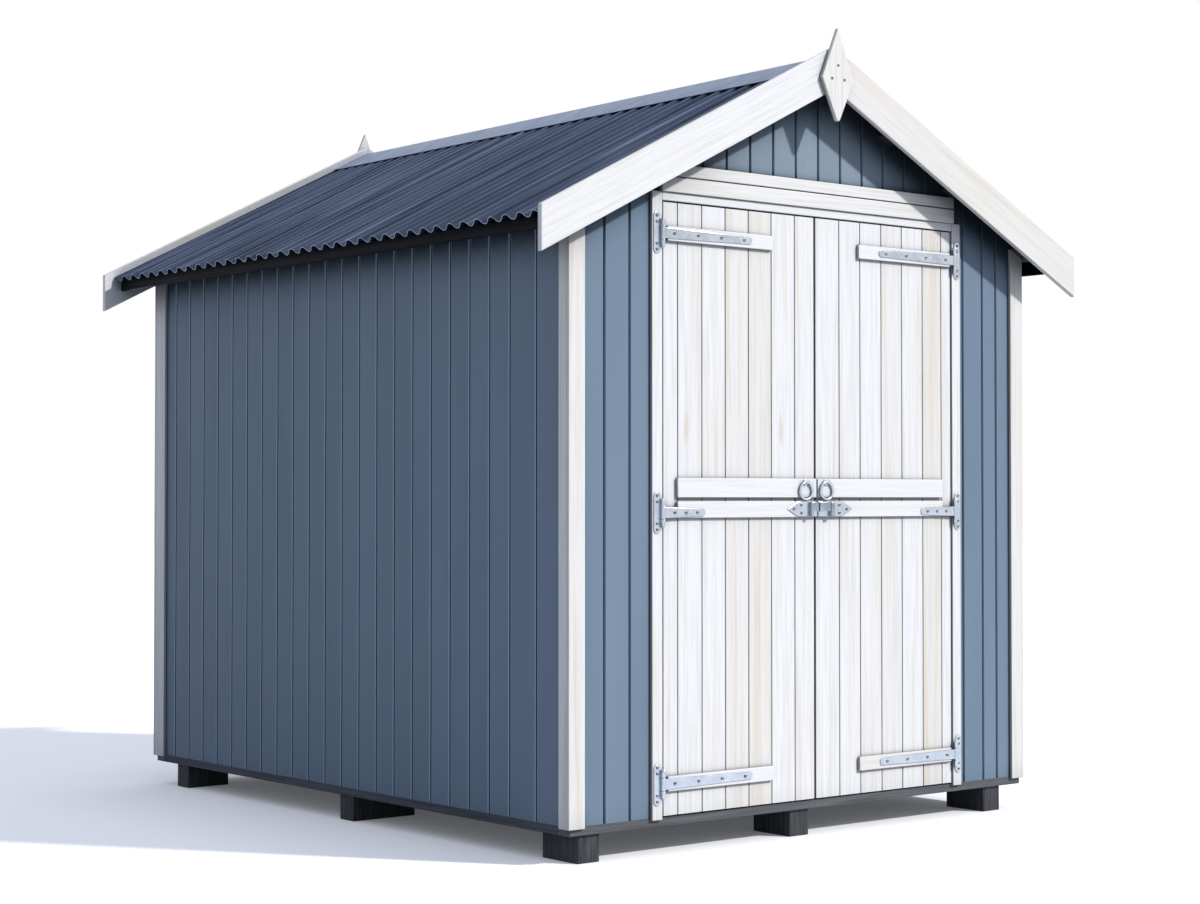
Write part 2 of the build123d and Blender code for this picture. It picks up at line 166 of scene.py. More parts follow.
# %% Floor
deselect()
bpy.ops.mesh.primitive_plane_add(size=80, location=(0, 0, 0))
ground = bpy.context.object
ground.name = "studio_floor"
paper, tree = new_finish("matt_white_paper")
bounce = add(tree, "BsdfDiffuse", {"Color": "#A8A8A8"})
shown = add(tree, "BsdfDiffuse", {"Color": "#F4F6FA"})
open_air = add(tree, "AmbientOcclusion", {"Distance": 0.8}, samples=8)
lift = add(tree, "Math", [open_air, 0.36, 0.08], operation="MULTIPLY_ADD")
glow = add(tree, "Emission", {"Color": "#F7F9FF", "Strength": lift})
lifted = add(tree, "AddShader", [shown, glow])
either = add(tree, "MixShader", [seen_directly(tree), bounce, lifted])
add(tree, "OutputMaterial", {"Surface": either})
ground.data.materials.append(paper)
print("floor:", ground.name)

# %% [markdown]
# ## White-washed softwood
# Doors, corner boards and bargeboards are planed spruce under a thin white stain. The eye sees a cool
# white with fine grey grain, here and there a warm beige streak where the stain is thin, and a rare pale
# knot. No two boards are alike, so each carries a number in an attribute called board, which shifts the
# grain along and warms or cools the tone. A second attribute, joint, is 1 on the faces inside the joints,
# which are greyed, partly as dirt where the stain hardly reaches and partly as painted shade. The grain
# runs along a board, so the finish is made for boards that stand, that lie along X, and that follow the
# slopes of the gable. Rails, ledges, braces and the head strip had a thicker coat, so less of the wood
# shows there. Where an Ambient Occlusion node finds little open air, as behind the bargeboards, the
# white is darkened to grey as painted shade.

# %% White-washed softwood
GRAIN_UP = (0, 0, 0)
GRAIN_ALONG_X = (0, math.radians(90), 0)
GRAIN_ALONG_Y = (math.radians(90), 0, 0)
BOARD_SHIFT = (5.3, 3.7, 9.1)


def per_mm(across, along):
    """Scales for a pattern that repeats about so many millimetres across and along the grain."""
    return (1000 / across, 1000 / across, 1000 / along)


def pattern(tree, kind, place, scale, **detail):
    """A texture of some kind with so many repeats in a metre along each axis."""
    scaled = add(tree, "Mapping", {"Vector": place, "Scale": scale})
    return add(tree, kind, {"Vector": scaled, "Scale": 1, **detail})


def grain_place(tree, turn):
    """Object coordinates turned so that the grain runs along Z, shifted from board to board."""
    place = add(tree, "TexCoord")
    board = add(tree, "Attribute", attribute_name="board")
    turned = add(tree, "Mapping", {"Vector": place, "Rotation": turn})
    return add(tree, "VectorMath", [board, BOARD_SHIFT, turned], operation="MULTIPLY_ADD"), board


def painted_shade(tree, colour, dull, amount, clear):
    """Darkens a colour as painted shade where little open air is found: under the eaves and behind the
    bargeboards.
    """
    open_air = add(tree, "AmbientOcclusion", {"Distance": 0.2}, samples=6)
    # how much painted shade: full where the open air is least, none where it is above clear
    deep = add(tree, "MapRange", [open_air, 0.5, clear, amount, 0])
    return add(tree, "Mix", [deep, colour, dull])


def white_washed_softwood(name, turn, thin):
    finish, tree = new_finish(name)
    place, board = grain_place(tree, turn)
    joint = add(tree, "Attribute", attribute_name="joint")
    streak = pattern(tree, "TexNoise", place, per_mm(26, 900), Detail=3, Distortion=0.4)
    fine = pattern(tree, "TexNoise", place, per_mm(7, 260), Detail=4, Roughness=0.6)
    knot = pattern(tree, "TexVoronoi", place, per_mm(150, 800))
    warm = add(tree, "MapRange", [streak, 0.48, 0.74, 0, thin])
    leaning = add(tree, "MapRange", [board, 0.4, 1, 0, thin * 0.8])
    warm = add(tree, "Math", [warm, leaning], operation="ADD", use_clamp=True)
    grey = add(tree, "MapRange", [fine, 0.46, 0.78, 0, thin * 0.85])
    knotty = add(tree, "MapRange", [knot, 0.03, 0.09, 0.4, 0])
    colour = add(tree, "Mix", [warm, "#F3F6FB", "#E3DBCF"])
    # the last tint greys the joint faces, partly as dirt and partly as painted shade
    for amount, tint in ((grey, "#C9CCD0"), (knotty, "#CDBBA0"), (joint, "#A8A5A2")):
        colour = add(tree, "Mix", [amount, colour, tint])
    # painted shade: grey where little open air is found, as behind the bargeboards
    colour = painted_shade(tree, colour, "#5E6268", 0.75, 0.92)
    rough = add(tree, "MapRange", [fine, 0.3, 0.8, 0.5, 0.72])
    bump = add(tree, "Bump", {"Height": fine, "Strength": 0.15, "Distance": 0.0006})
    shader = add(tree, "BsdfPrincipled", {"Base Color": colour, "Roughness": rough, "Normal": bump,
                                          "Specular IOR Level": 0.45})
    add(tree, "OutputMaterial", {"Surface": shader})
    return finish


ROOF_PITCH = math.radians(26.85)
SIDES = (("left", -1), ("right", 1))
whitewash_leaf = white_washed_softwood("thinly_washed_spruce_upright", GRAIN_UP, 0.62)
whitewash_header = white_washed_softwood("thinly_washed_spruce_lying", GRAIN_ALONG_X, 0.62)
whitewash_up = white_washed_softwood("white_washed_spruce_upright", GRAIN_UP, 0.4)
whitewash_along = white_washed_softwood("white_washed_spruce_lying", GRAIN_ALONG_X, 0.4)
whitewash_slope = {side: white_washed_softwood(f"white_washed_spruce_{name}_slope",
                                               (0, math.radians(90) - side * ROOF_PITCH, 0), 0.62)
                   for name, side in SIDES}
print("white-washed finishes:", whitewash_up.name, whitewash_along.name)

# %% [markdown]
# ## Painted cladding
# The walls are tongued and grooved spruce under a satin slate-blue paint. Paint hides the colour of the
# wood but not its surface, so the grain shows only as a faint ripple in the shine, and each board takes
# the paint a little differently. A soft, wide mottling keeps a large wall from looking like one sheet.
# Under the eaves and behind the bargeboards the colour is darkened as painted shade, the joint faces are
# painted dark as shade in the grooves, the front edges of the boards on the side walls are painted pale as
# a highlight, and the gable has a lighter copy of the paint as painted light. Two more attributes mark
# faces of a board: arris its pale front edges, and inside its back, which is left bare.

# %% Painted cladding


def painted_cladding(name, deep_tone, pale_tone):
    finish, tree = new_finish(name)
    place, board = grain_place(tree, GRAIN_UP)
    mottle = pattern(tree, "TexNoise", place, per_mm(240, 1100), Detail=2)
    ripple = pattern(tree, "TexNoise", place, per_mm(5, 220), Detail=3)
    even = add(tree, "MapRange", [mottle, 0.3, 0.7, 0, 0.6])
    even = add(tree, "Math", [board, 0.4, even], operation="MULTIPLY_ADD", use_clamp=True)
    colour = add(tree, "Mix", [even, deep_tone, pale_tone])
    # painted shade: the paint darkens to near black where little open air is found
    colour = painted_shade(tree, colour, "#111823", 0.92, 0.86)
    bare = add(tree, "Mix", [ripple, "#DEC59B", "#C29E6C"])
    # joint faces painted dark as shade in the grooves, arris faces painted pale as a highlight, backs bare
    for faces, tint in (("joint", "#2B3B55"), ("arris", "#B4C6E0"), ("inside", bare)):
        marked = add(tree, "Attribute", attribute_name=faces)
        colour = add(tree, "Mix", [marked, colour, tint])
    rough = add(tree, "MapRange", [ripple, 0.3, 0.7, 0.38, 0.52])
    bump = add(tree, "Bump", {"Height": ripple, "Strength": 0.22, "Distance": 0.0006})
    shader = add(tree, "BsdfPrincipled", {"Base Color": colour, "Roughness": rough, "Normal": bump,
                                          "Specular IOR Level": 0.12})
    add(tree, "OutputMaterial", {"Surface": shader})
    return finish


painted_boards = painted_cladding("satin_slate_blue_paint", "#74899F", "#8094AB")
# a lighter copy of the paint for the gable, as painted light
lightened_gable_boards = painted_cladding("lightened_gable_slate_blue_paint", "#8497A9", "#91A3B5")
print("cladding finishes:", painted_boards.name, lightened_gable_boards.name)

# %% [markdown]
# ## Bare, stained and treated timber
# Inside, the frame is bare planed spruce with yellow early wood and browner late wood. The deck and the
# roof timbers are stained grey, the eave boards are painted near black, and the foot blocks are dark
# treated offcuts. They differ in colour, in the width of their grain and in how rough the saw left them,
# so one function draws them from those values.

# %% Bare, stained and treated timber


def sawn_timber(name, turn, pale, dark, grain_mm, length_mm, roughness, shine=0.25):
    finish, tree = new_finish(name)
    place, _ = grain_place(tree, turn)
    ring = pattern(tree, "TexNoise", place, per_mm(grain_mm, length_mm), Detail=4, Roughness=0.6,
                   Distortion=0.5)
    fine = pattern(tree, "TexNoise", place, per_mm(3, length_mm / 3), Detail=2)
    late = add(tree, "MapRange", [ring, 0.36, 0.66])
    late = add(tree, "Math", [fine, 0.35, late], operation="MULTIPLY_ADD")
    late = add(tree, "MapRange", [late, 0.15, 1.2])
    colour = add(tree, "Mix", [late, pale, dark])
    rough = add(tree, "MapRange", [fine, 0.3, 0.7, roughness - 0.08, roughness + 0.08])
    bump = add(tree, "Bump", {"Height": ring, "Strength": 0.35, "Distance": 0.001})
    shader = add(tree, "BsdfPrincipled", {"Base Color": colour, "Roughness": rough, "Normal": bump,
                                          "Specular IOR Level": shine})
    add(tree, "OutputMaterial", {"Surface": shader})
    return finish


bare_up = sawn_timber("bare_spruce_upright", GRAIN_UP, "#E2C596", "#C39A63", 14, 600, 0.6)
bare_along = sawn_timber("bare_spruce_lying", GRAIN_ALONG_Y, "#E2C596", "#C39A63", 14, 600, 0.6)
stained_along_x = sawn_timber("stained_deck_across", GRAIN_ALONG_X, "#666970", "#4B4E54", 9, 420, 0.62)
stained_along_y = sawn_timber("stained_deck_along", GRAIN_ALONG_Y, "#666A74", "#4C5058", 9, 420, 0.62, 0.06)
roof_stain = sawn_timber("stained_roof_timber", GRAIN_ALONG_Y, "#3E4148", "#2A2D32", 9, 420, 0.62, 0.06)
treated_block = sawn_timber("treated_block_timber", GRAIN_UP, "#4A4D53", "#24262B", 8, 160, 0.7)
fascia_black = sawn_timber("near_black_painted_board", GRAIN_ALONG_Y, "#10151D", "#0A0D13",
                           12, 700, 0.55, 0.05)
print("timber finishes:", bare_up.name, stained_along_x.name, treated_block.name, fascia_black.name)

# %% [markdown]
# ## Coated steel and zinc
# The roof sheet and the ridge capping are coil-coated steel: a thin satin paint over a smooth rolled
# sheet, so the waves catch pale streaks of sky, and more long pale streaks of sky are painted into the
# colour as painted reflection. On the roof, thin pale lines down the slope are painted highlights, and its
# cut ends are bare. The hinges, plates and rings are bright zinc plate, a metal whose crystals give it
# slightly different blues and greys from place to place. The latch bar, which hands rub, is duller, and so
# are the screws. The grain of the zinc is drawn about twice its real size, because it would not show in
# the picture otherwise.

# %% Coated steel
ROOF_WASH = (1.6, 24, 1.6)      # repeats in a metre: 625 mm down the slope, 42 mm across it
ROOF_DUST = (9, 60, 9)          # 110 mm and 17 mm
# the thin lines of painted highlight
ROOF_GLINTS = (0.9, 115, 0.9)     # 1.1 m and 9 mm


def coated_steel(name, dark, pale, roughness, shine, metallic):
    finish, tree = new_finish(name)
    place = add(tree, "TexCoord")
    wash = pattern(tree, "TexNoise", place, ROOF_WASH, Detail=1)
    dust = pattern(tree, "TexNoise", place, ROOF_DUST, Detail=3)
    line = pattern(tree, "TexNoise", place, ROOF_GLINTS, Detail=1)
    # painted reflection: long pale streaks of sky down the slope
    sky_streaks = add(tree, "MapRange", [wash, 0.36, 0.66])
    # painted highlight: thin pale lines down the slope, as strong as the sheet is metallic
    painted_glint = add(tree, "MapRange", [line, 0.58, 0.72, 0, metallic])
    cut = add(tree, "Attribute", attribute_name="arris")
    colour = dark
    for amount, tint in ((sky_streaks, pale), (painted_glint, "#8B9FC3"), (cut, "#A9B5C8")):
        colour = add(tree, "Mix", [amount, colour, tint])
    rough = add(tree, "MapRange", [dust, 0.3, 0.7, roughness - 0.08, roughness + 0.1])
    bump = add(tree, "Bump", {"Height": dust, "Strength": 0.08, "Distance": 0.0006})
    shader = add(tree, "BsdfPrincipled", {"Base Color": colour, "Roughness": rough, "Normal": bump,
                                          "Specular IOR Level": shine, "Specular Tint": "#A9BBE2",
                                          "Metallic": metallic})
    add(tree, "OutputMaterial", {"Surface": shader})
    return finish


roof_coat = coated_steel("anthracite_coated_steel", "#30394B", "#485369", 0.36, 0.1, 0.45)
cap_coat = coated_steel("grey_blue_coated_steel", "#7284A6", "#7E90B1", 0.42, 0.22, 0.0)
print("coated steel:", roof_coat.name, cap_coat.name)

# %% Zinc


def zinc_plate(name, dull, bright, roughness):
    finish, tree = new_finish(name)
    place = add(tree, "TexCoord")
    crystal = pattern(tree, "TexVoronoi", place, per_mm(12, 12))
    cloud = pattern(tree, "TexNoise", place, per_mm(60, 60), Detail=3)
    mixed = add(tree, "Math", [crystal, 0.35, cloud], operation="MULTIPLY_ADD")
    shine = add(tree, "MapRange", [mixed, 0.42, 0.92])
    colour = add(tree, "Mix", [shine, dull, bright])
    rough = add(tree, "MapRange", [cloud, 0.3, 0.7, roughness - 0.05, roughness + 0.07])
    shader = add(tree, "BsdfPrincipled", {"Base Color": colour, "Roughness": rough, "Metallic": 1.0})
    add(tree, "OutputMaterial", {"Surface": shader})
    return finish


bright_zinc = zinc_plate("bright_zinc_plate", "#B2BAC6", "#C6CDD8", 0.2)
dull_zinc = zinc_plate("dulled_zinc_plate", "#848D9B", "#A3ACB8", 0.3)
screw_zinc = zinc_plate("dulled_zinc_screws", "#4E525A", "#757B85", 0.38)
print("zinc:", bright_zinc.name, dull_zinc.name, screw_zinc.name)

# %% [markdown]
# ## The carpenter's moves
# Nearly every piece of a shed is a length of timber: it is cut to size, sawn at an angle, and its edges
# are eased. The same moves are used here. A slab is a cube at its size and place, saw is a bisect that
# keeps one side and closes the cut, and ease_edges is a bevel. Parts of a mesh are picked by their place.

# %% Carpenter's moves
draw = random.Random(7)
NEAR = 1e-5   # what lies nearer than this counts as the same place


def take(piece):
    """Selects one piece only and makes it the active one."""
    deselect()
    piece.select_set(True)
    bpy.context.view_layer.objects.active = piece
    return piece


def set_down(piece):
    """Puts a piece's place, turn and size into its mesh, so that its object sits at the origin."""
    take(piece)
    bpy.ops.object.transform_apply(location=True, rotation=True, scale=True)
    return piece


def slab(low, high):
    deselect()
    bpy.ops.mesh.primitive_cube_add(size=1, location=[(a + b) / 2 for a, b in zip(low, high)])
    piece = bpy.context.object
    piece.scale = [abs(b - a) for a, b in zip(low, high)]
    return set_down(piece)


def pick_all():
    bpy.ops.mesh.select_all(action="SELECT")


def edit(piece):
    take(piece)
    bpy.ops.object.mode_set(mode="EDIT")
    pick_all()


def leave():
    bpy.ops.object.mode_set(mode="OBJECT")


def pick(piece, kind, wanted):
    """In edit mode, selects the corners, edges or faces whose middle passes the test."""
    bpy.ops.mesh.select_all(action="DESELECT")
    bpy.ops.mesh.select_mode(type=kind)
    mesh = bmesh.from_edit_mesh(piece.data)
    if kind == "VERT":
        found = [v for v in mesh.verts if wanted(v.co)]
    elif kind == "EDGE":
        ends = [(e, e.verts[0].co, e.verts[1].co) for e in mesh.edges]
        found = [e for e, start, end in ends if wanted((start + end) / 2, end - start)]
    else:
        found = [f for f in mesh.faces if wanted(f.calc_center_median())]
    for item in found:
        item.select_set(True)
    bmesh.update_edit_mesh(piece.data)
    return len(found)


def saw(piece, point, off_side):
    """Cuts along a plane, throws away the side that off_side points to, and closes the cut."""
    edit(piece)
    bpy.ops.mesh.bisect(plane_co=point, plane_no=off_side, use_fill=True, clear_outer=True)
    leave()
    return piece


def shift(piece, wanted, by):
    """Moves the corners that pass the test."""
    edit(piece)
    pick(piece, "VERT", wanted)
    bpy.ops.transform.translate(value=by)
    leave()
    return piece


def modify(piece, kind, **settings):
    """Adds a modifier, sets it and applies it."""
    take(piece)
    bpy.ops.object.modifier_add(type=kind)
    added = piece.modifiers[-1]
    for setting, value in settings.items():
        setattr(added, setting, value)
    bpy.ops.object.modifier_apply(modifier=added.name)
    return piece


def ease_edges(piece, width):
    """Takes the sharpness off every edge, as sandpaper or a press tool does."""
    return modify(piece, "BEVEL", width=width, segments=2, limit_method="ANGLE",
                  angle_limit=math.radians(35))


def tone(piece, value=None):
    """Gives a board its own number, from which its finish takes its grain and its tone."""
    value = draw.random() if value is None else value
    board = piece.data.attributes.new("board", "FLOAT", "FACE")
    board.data.foreach_set("value", [value] * len(piece.data.polygons))
    return piece


def join(pieces):
    take(pieces[0])
    for piece in pieces:
        piece.select_set(True)
    if len(pieces) > 1:
        bpy.ops.object.join()
    return set_down(bpy.context.object)


def fit(name, pieces, finish, body, slot, *nodes):
    """Joins what belongs together, gives it its finish, and hangs it on its body in place of its nodes."""
    piece = join(pieces)
    piece.name = name
    piece.data.name = name
    piece.data.materials.clear()
    piece.data.materials.append(finish)
    take(piece)
    bpy.ops.object.shade_smooth_by_angle(angle=math.radians(20))
    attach(piece, body)
    if nodes:
        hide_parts(*nodes)
    print(f"{name}: {len(piece.data.polygons)} faces on {body}")
    return piece


def timber(low, high, eased=0.002):
    """A planed length of timber with its edges eased."""
    return tone(ease_edges(slab(low, high), eased))


# %% [markdown]
# ## Sizes that several pieces share
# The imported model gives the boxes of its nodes, and these are read from it where a piece stands in for
# a node. The slope of the roof can't be read from a box. Its pitch was written with the finishes, and the
# ridge is written here, in metres, with the depths at which the sheet and the timbers lie under the
# crests of the roof.

# %% Shared sizes
RIDGE = 2.716
SHEET_SEAT = 0.0222
PURLIN_SEAT = 0.0672
SIN, COS, TAN = math.sin(ROOF_PITCH), math.cos(ROOF_PITCH), math.tan(ROOF_PITCH)
ENDS = (("front", -1), ("rear", 1))
deck_low, deck_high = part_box("floor_deck")
DECK_TOP = deck_high.z
WALL_X, WALL_Y = deck_high.x, deck_high.y
CLADDING = 0.016


def saw_to_roof(piece, below):
    """Saws a piece to the two slopes, so far below the crests of the sheet."""
    for side in (-1, 1):
        saw(piece, (0, 0, RIDGE - below / COS), (side * SIN, 0, COS))
    return piece


print("deck top", round(DECK_TOP, 3), "walls", round(WALL_X, 3), round(WALL_Y, 3))

# %% [markdown]
# ## Tongued and grooved boards
# The walls and the doors are boards whose edges lock together: a tongue on one, a groove in the next,
# and a small bevel at the face that makes the dark line between them. On the side walls the bevel has
# two facets, an outer one painted pale as a highlight and an inner one painted dark as shade. It could be
# a plain slab with lines painted on, but the lines would vanish up close. So one board's section is drawn
# flat, with its groove cut out and its tongue drawn out, and extruded to its length. The rest of the run
# are copies, and a board that is wider or narrower has its far edge moved.

# %% One board and a run of boards
TONGUE = 0.008
GROOVE = 0.006
CLEAR = 0.0003   # keeps a cut just off faces that already lie there
GROOVE_DEPTHS = (0.55, 0.8)   # from the face, as parts of the thickness
TONGUE_TAPER = 0.8


def tongued_board(width, thickness, bevel, length, arris_highlight):
    deselect()
    bpy.ops.mesh.primitive_plane_add(size=1, location=(width / 2, thickness / 2, 0))
    board = bpy.context.object
    board.scale = (width, thickness, 1)
    set_down(board)
    front, back = (thickness * part for part in GROOVE_DEPTHS)
    edit(board)
    for depth in (front, back):
        pick_all()
        bpy.ops.mesh.bisect(plane_co=(0, depth, 0), plane_no=(0, 1, 0))
    pick_all()
    bpy.ops.mesh.bisect(plane_co=(GROOVE, 0, 0), plane_no=(1, 0, 0))
    pick(board, "FACE", lambda at: at.x < GROOVE and front < at.y < back)
    bpy.ops.mesh.delete(type="FACE")
    pick(board, "EDGE", lambda at, run: at.x > width - NEAR and front < at.y < back)
    bpy.ops.mesh.extrude_edges_move(TRANSFORM_OT_translate={"value": (TONGUE, 0, 0)})
    pick(board, "VERT", lambda at: at.x > width + NEAR)
    bpy.ops.transform.resize(value=(1, TONGUE_TAPER, 1), center_override=(width, (front + back) / 2, 0))
    pick(board, "VERT", lambda at: at.y < NEAR and (at.x < NEAR or at.x > width - NEAR))
    bpy.ops.mesh.bevel(offset=bevel, affect="VERTICES", segments=2 if arris_highlight else 1)
    bpy.ops.mesh.select_mode(type="FACE")
    pick_all()
    bpy.ops.mesh.dissolve_limited(angle_limit=math.radians(1))
    pick_all()
    bpy.ops.mesh.extrude_region_move(TRANSFORM_OT_translate={"value": (0, 0, length)})
    pick_all()
    bpy.ops.mesh.normals_make_consistent(inside=False)
    leave()
    for name in ("joint", "arris", "inside"):
        board.data.attributes.new(name, "FLOAT", "FACE")
    within, arris, inside = (board.data.attributes[name].data for name in ("joint", "arris", "inside"))
    for face in board.data.polygons:
        sideways = abs(face.normal.x)
        # faces inside the joint, which the finishes darken: painted shade, and on the doors partly dirt
        deep = sideways > 0.8 or abs(face.center.y - (front + back) / 2) < thickness / 4
        within[face.index].value = float(deep and abs(face.normal.z) < 0.5)
        # the bevel facet next to the face, painted pale as a highlight on the side walls
        arris[face.index].value = arris_highlight if 0.3 < sideways < 0.8 else 0
        inside[face.index].value = float(face.center.y > back)
    return board


def boarding(edges, thickness, bevel, gap, length, tones=None, arris_highlight=0):
    """A run of boards along X with their faces to -Y. The edges say where each board ends."""
    widths = [b - a - gap for a, b in zip(edges, edges[1:])]
    first = tongued_board(widths[0], thickness, bevel, length, arris_highlight)
    run = []
    for index, (start, width) in enumerate(zip(edges, widths)):
        take(first)
        bpy.ops.object.duplicate(linked=False)
        board = bpy.context.object
        if abs(width - widths[0]) > 1e-6:
            shift(board, lambda at: at.x > widths[0] / 2, (width - widths[0], 0, 0))
        board.location.x = start + gap / 2
        run.append(tone(board, tones[index] if tones else None))
    bpy.data.objects.remove(first)
    return saw(join(run), (edges[-1] - gap / 2 - CLEAR, 0, 0), (1, 0, 0))


def stand(piece, turn, place):
    """Turns a run of boards to its wall and puts it there."""
    piece.rotation_euler.z = math.radians(turn)
    piece.location = place
    return set_down(piece)


# %% [markdown]
# ## The walls
# The side walls have boards of about 114 mm with wider ones at their ends, the front and back walls have
# boards of about 109 mm. The runs start as tall rectangles and are then sawn to the slope. The front and
# back walls pass up between the purlins to the sheet, so they are notched round the roof timbers with a
# Boolean, by a cutter that is a merged copy of those timbers. Between the doors and the corners, the
# joints are where the photograph shows them.

# %% A cutter for the roof timbers
deselect()
for name in ("roof_purlins", "ridge_beam"):
    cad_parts[name].select_set(True)
bpy.context.view_layer.objects.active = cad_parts["ridge_beam"]
bpy.ops.object.duplicate(linked=False)
cutters = list(bpy.context.selected_objects)
for cutter in cutters:
    for key in list(cutter.keys()):
        del cutter[key]
    cutter.parent = None
cutter = join(cutters)
edit(cutter)
bpy.ops.mesh.remove_doubles(threshold=1e-6)
leave()
print("cutter:", len(cutter.data.polygons), "faces")


def notch(piece):
    """Cuts a wall away where the purlins and the ridge beam pass through it."""
    modify(piece, "BOOLEAN", operation="DIFFERENCE", solver="EXACT", object=cutter)
    edit(piece)
    bpy.ops.mesh.dissolve_degenerate(threshold=NEAR)
    leave()
    return piece


def spaced(start, first, pitch, count, end):
    """Board edges at an even pitch between two ends."""
    return [start] + [first + pitch * step for step in range(count)] + [end]


WALL_BEVEL = 0.0045
WALL_GAP = 0.0025
SIDE_BEVEL = 0.0062
SIDE_GAP = 0.003
# how pale the outer bevel facets of the side-wall boards are painted, as a highlight
SIDE_HIGHLIGHT = 0.75
SIDE_PITCH = 0.1136
END_PITCH = 0.1086

# %% Side walls
side_edges = [-WALL_Y] + spaced(-1.195, -1.0509, SIDE_PITCH, 21, WALL_Y)
for name, side in SIDES:
    edges = side_edges if side > 0 else [-edge for edge in reversed(side_edges)]
    run = boarding(edges, CLADDING, SIDE_BEVEL, SIDE_GAP, RIDGE - DECK_TOP, arris_highlight=SIDE_HIGHLIGHT)
    stand(run, side * 90, (side * WALL_X, 0, DECK_TOP))
    saw_to_roof(run, PURLIN_SEAT)
    fit(f"{name}_wall_boards", [run], painted_boards, "shed", "cladding_paint", f"{name}_wall")

# %% Front, gable and back walls
END_RUNS = (
    ("front_left", "front_wall_left", [-1.072, -0.944, -0.837, -0.730, -0.706]),
    ("front_right", "front_wall_right", [0.706, 0.777, 0.885, 0.961, 1.072]),
    ("front_gable", "front_gable", spaced(-0.706, -0.624, END_PITCH, 13, 0.706)),
    ("back_wall", "back_wall", spaced(-1.072, -0.978, END_PITCH, 19, 1.072)),
)
for name, node, edges in END_RUNS:
    turn, y = (180, WALL_Y) if name == "back_wall" else (0, -WALL_Y)
    # the gable takes the lighter copy of the paint, as painted light
    paint = lightened_gable_boards if name == "front_gable" else painted_boards
    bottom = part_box(node)[0].z
    run = boarding(edges, CLADDING, WALL_BEVEL, WALL_GAP, RIDGE - bottom)
    stand(run, turn, (0, y, bottom))
    saw_to_roof(run, SHEET_SEAT + CLEAR)
    fit(f"{name}_boards", [notch(run)], paint, "shed", "cladding_paint", node)
bpy.data.objects.remove(cutter)

# %% [markdown]
# ## Deck and feet
# The floor is a frame of four stained bearers with boards let in between them, on nine dark offcuts.
# Only the rim shows while the doors are shut, but the boards show when they open, so they are laid
# with real gaps.

# %% Deck and feet
RIM = 0.060
RIM_EASE = 0.0025
FLOOR_BOARDS = 24
FLOOR_GAP = 0.002
DECK_BOTTOM = deck_low.z
rim_y = WALL_Y - RIM
deck = [timber((-WALL_X, -WALL_Y, DECK_BOTTOM), (WALL_X, -rim_y, DECK_TOP), RIM_EASE),
        timber((-WALL_X, rim_y, DECK_BOTTOM), (WALL_X, WALL_Y, DECK_TOP), RIM_EASE)]
floor_pitch = 2 * rim_y / FLOOR_BOARDS
for step in range(FLOOR_BOARDS):
    start = -rim_y + step * floor_pitch
    deck.append(timber((-WALL_X + RIM, start + FLOOR_GAP / 2, DECK_BOTTOM),
                       (WALL_X - RIM, start + floor_pitch - FLOOR_GAP / 2, DECK_TOP)))
fit("deck_boards", deck, stained_along_x, "shed", "floor_timber", "floor_deck")
rims = [timber((side * (WALL_X - RIM), -rim_y, DECK_BOTTOM), (side * WALL_X, rim_y, DECK_TOP), RIM_EASE)
        for _, side in SIDES]
fit("deck_side_bearers", rims, stained_along_y, "shed", "floor_timber")

# for each row of blocks: their places along X, the row's place along Y, and their size
BLOCK_ROWS = (((-1.000, -0.060, 0.942), -1.266, (0.090, 0.185)),
              ((-0.941, 0, 0.941), -0.047, (0.270, 0.090)),
              ((-0.9835, 0, 0.9835), 1.1755, (0.185, 0.090)))
blocks = [timber((x - across / 2, y - along / 2, 0), (x + across / 2, y + along / 2, DECK_BOTTOM), 0.003)
          for places, y, (across, along) in BLOCK_ROWS for x in places]
fit("foot_timbers", blocks, treated_block, "shed", "block_timber", "foot_blocks")

# %% [markdown]
# ## White boards round the walls
# Each corner has two boards, one on the front that covers the edge of the one on the flank. The doorway
# has a jamb at each side, a head strip, and two header boards above it. They are plain planed lengths,
# so each is a slab with eased edges, sawn where it meets the slope.

# %% Corner boards
TRIM = 0.012
for end_name, end in ENDS:
    for side_name, side in SIDES:
        node = f"{end_name}_{side_name}_trim"
        low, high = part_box(node)
        inner_x, outer_x = sorted((low.x, high.x), key=abs)
        inner_y, outer_y = sorted((low.y, high.y), key=abs)
        face = slab((inner_x, outer_y, low.z), (outer_x, outer_y - end * TRIM, high.z))
        flank = slab((outer_x, outer_y - end * TRIM, low.z), (outer_x - side * TRIM, inner_y, high.z))
        boards = [tone(ease_edges(saw_to_roof(board, PURLIN_SEAT), 0.0018), value)
                  for board, value in ((face, 0.72), (flank, 0.35))]
        fit(f"{end_name}_{side_name}_corner_boards", boards, whitewash_leaf, "shed", "white_timber", node)

# %% Door frame
for name, _ in SIDES:
    node = f"door_jamb_{name}"
    fit(f"{name}_jamb_board", [timber(*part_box(node))], whitewash_leaf, "shed", "white_timber", node)
head = timber(*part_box("door_head"), 0.003)
fit("head_strip", [head], whitewash_along, "shed", "white_timber", "door_head")
LOWER_HEADER = 0.053
HEADER_GAP = 0.003
low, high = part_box("door_header")
joint = low.z + LOWER_HEADER
headers = []
for bottom, top in ((low.z, joint - HEADER_GAP / 2), (joint + HEADER_GAP / 2, high.z)):
    header = saw_to_roof(slab((low.x, low.y, bottom), (high.x, high.y, top)), PURLIN_SEAT)
    headers.append(tone(ease_edges(header, 0.003), 0.6))
fit("header_boards", headers, whitewash_header, "shed", "white_timber", "door_header")

# %% [markdown]
# ## Bargeboards and finials
# A bargeboard follows the slope and is cut plumb at both ends. A level slab whose eave end is dropped has
# just that shape: its ends stay upright while its long edges take the slope. The finial is a kite-shaped
# plate over the joint of the two boards. It is sawn from a slab, and three nails hold it.

